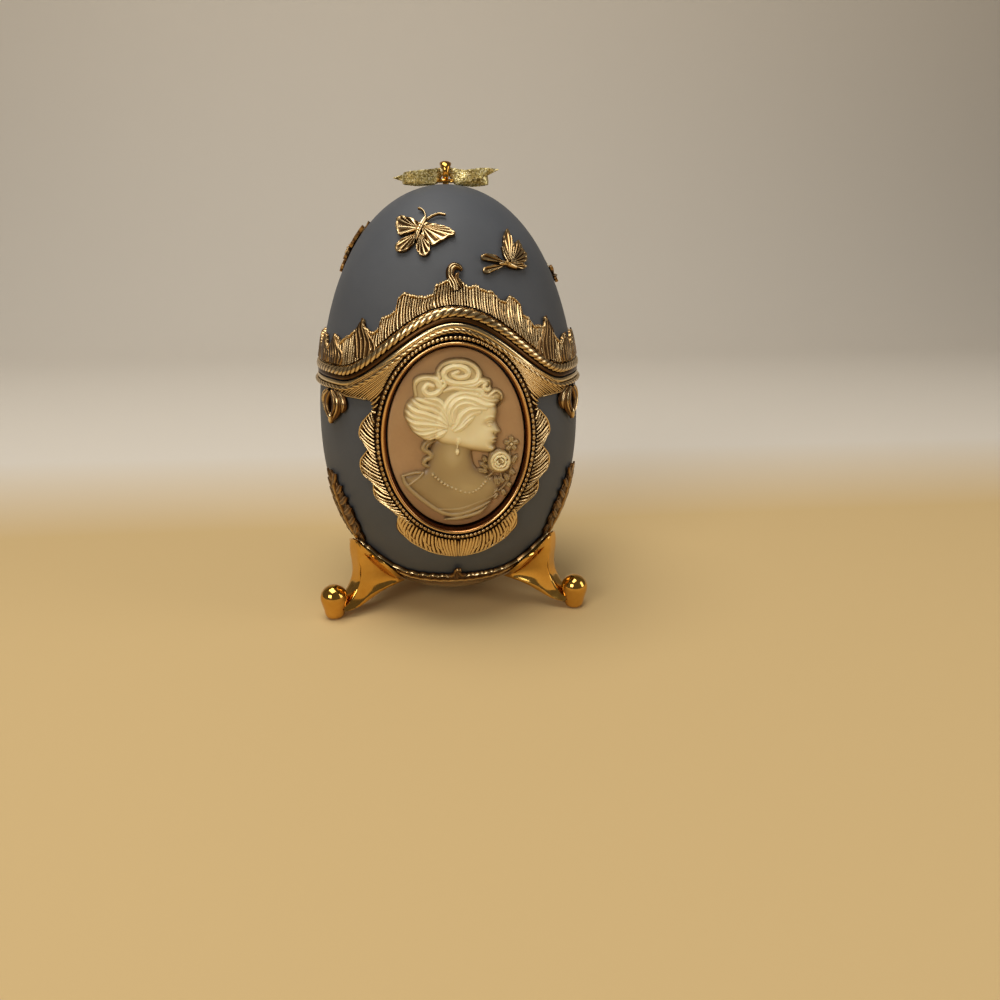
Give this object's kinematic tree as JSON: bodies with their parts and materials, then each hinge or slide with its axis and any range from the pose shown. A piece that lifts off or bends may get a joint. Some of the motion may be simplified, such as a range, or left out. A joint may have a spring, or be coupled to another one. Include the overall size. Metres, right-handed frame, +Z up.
{
  "type": "egg trinket box on stand",
  "caption": "Egg-shaped hinged trinket box on a gilt ball-foot stand, with a cameo set in leaf castings, a rope-moulded wavy seam and a ribboned finial.",
  "frame": {"origin": "under the middle of the whole box, on the surface that the feet stand on", "axes": "+Z up, -Y is the front with the cameo, +X is the viewer's right when facing the front"},
  "size_m": [0.066, 0.0682, 0.1054],
  "materials": {
    "shell_paint": "matt slate blue paint over a moulded egg shell",
    "velvet": "short-pile lining",
    "gilt": "gold-plated casting with dark recesses",
    "polished_gilt": "mirror-polished gold plate",
    "plaque_pink": "satin resin, pink-tan",
    "plaque_ivory": "satin resin, ivory",
    "steel": "plain steel fastening",
    "ribbon_gold": "open metallic ribbon with glitter"
  },
  "bodies": {
    "base": {"body_shell": "shell_paint", "body_liner": "velvet", "body_rope_rim": "gilt", "cameo_surround": "gilt", "cameo_bezel": "gilt", "cameo_plaque": "plaque_pink", "cameo_bust": "plaque_ivory", "cameo_flowers": "plaque_ivory", "pendant_left": "gilt", "pendant_right": "gilt", "stand_collar": "gilt", "stand_leg_left": "polished_gilt", "stand_leg_right": "polished_gilt", "stand_leg_back": "polished_gilt", "spray_left": "gilt", "spray_right": "gilt", "spray_back": "gilt", "stand_screw": "steel", "stand_nut": "steel", "hinge_leaf_lower": "gilt", "hinge_pin": "steel"},
    "lid": {"lid_shell": "shell_paint", "lid_liner": "velvet", "lid_rope_rim": "gilt", "lid_crest": "gilt", "butterfly_front_left": "gilt", "butterfly_front_right": "gilt", "butterfly_side_left": "gilt", "butterfly_side_right": "gilt", "finial_eye": "polished_gilt", "ribbon_bow": "ribbon_gold", "hinge_leaf_upper": "gilt"}
  },
  "joints": [
    {"name": "lid_hinge", "type": "hinge", "parent": "base", "child": "lid", "pos_m": [0, 0.03037, 0.0583], "axis": [-1, 0, 0], "range_deg": [0, 95]}
  ]
}
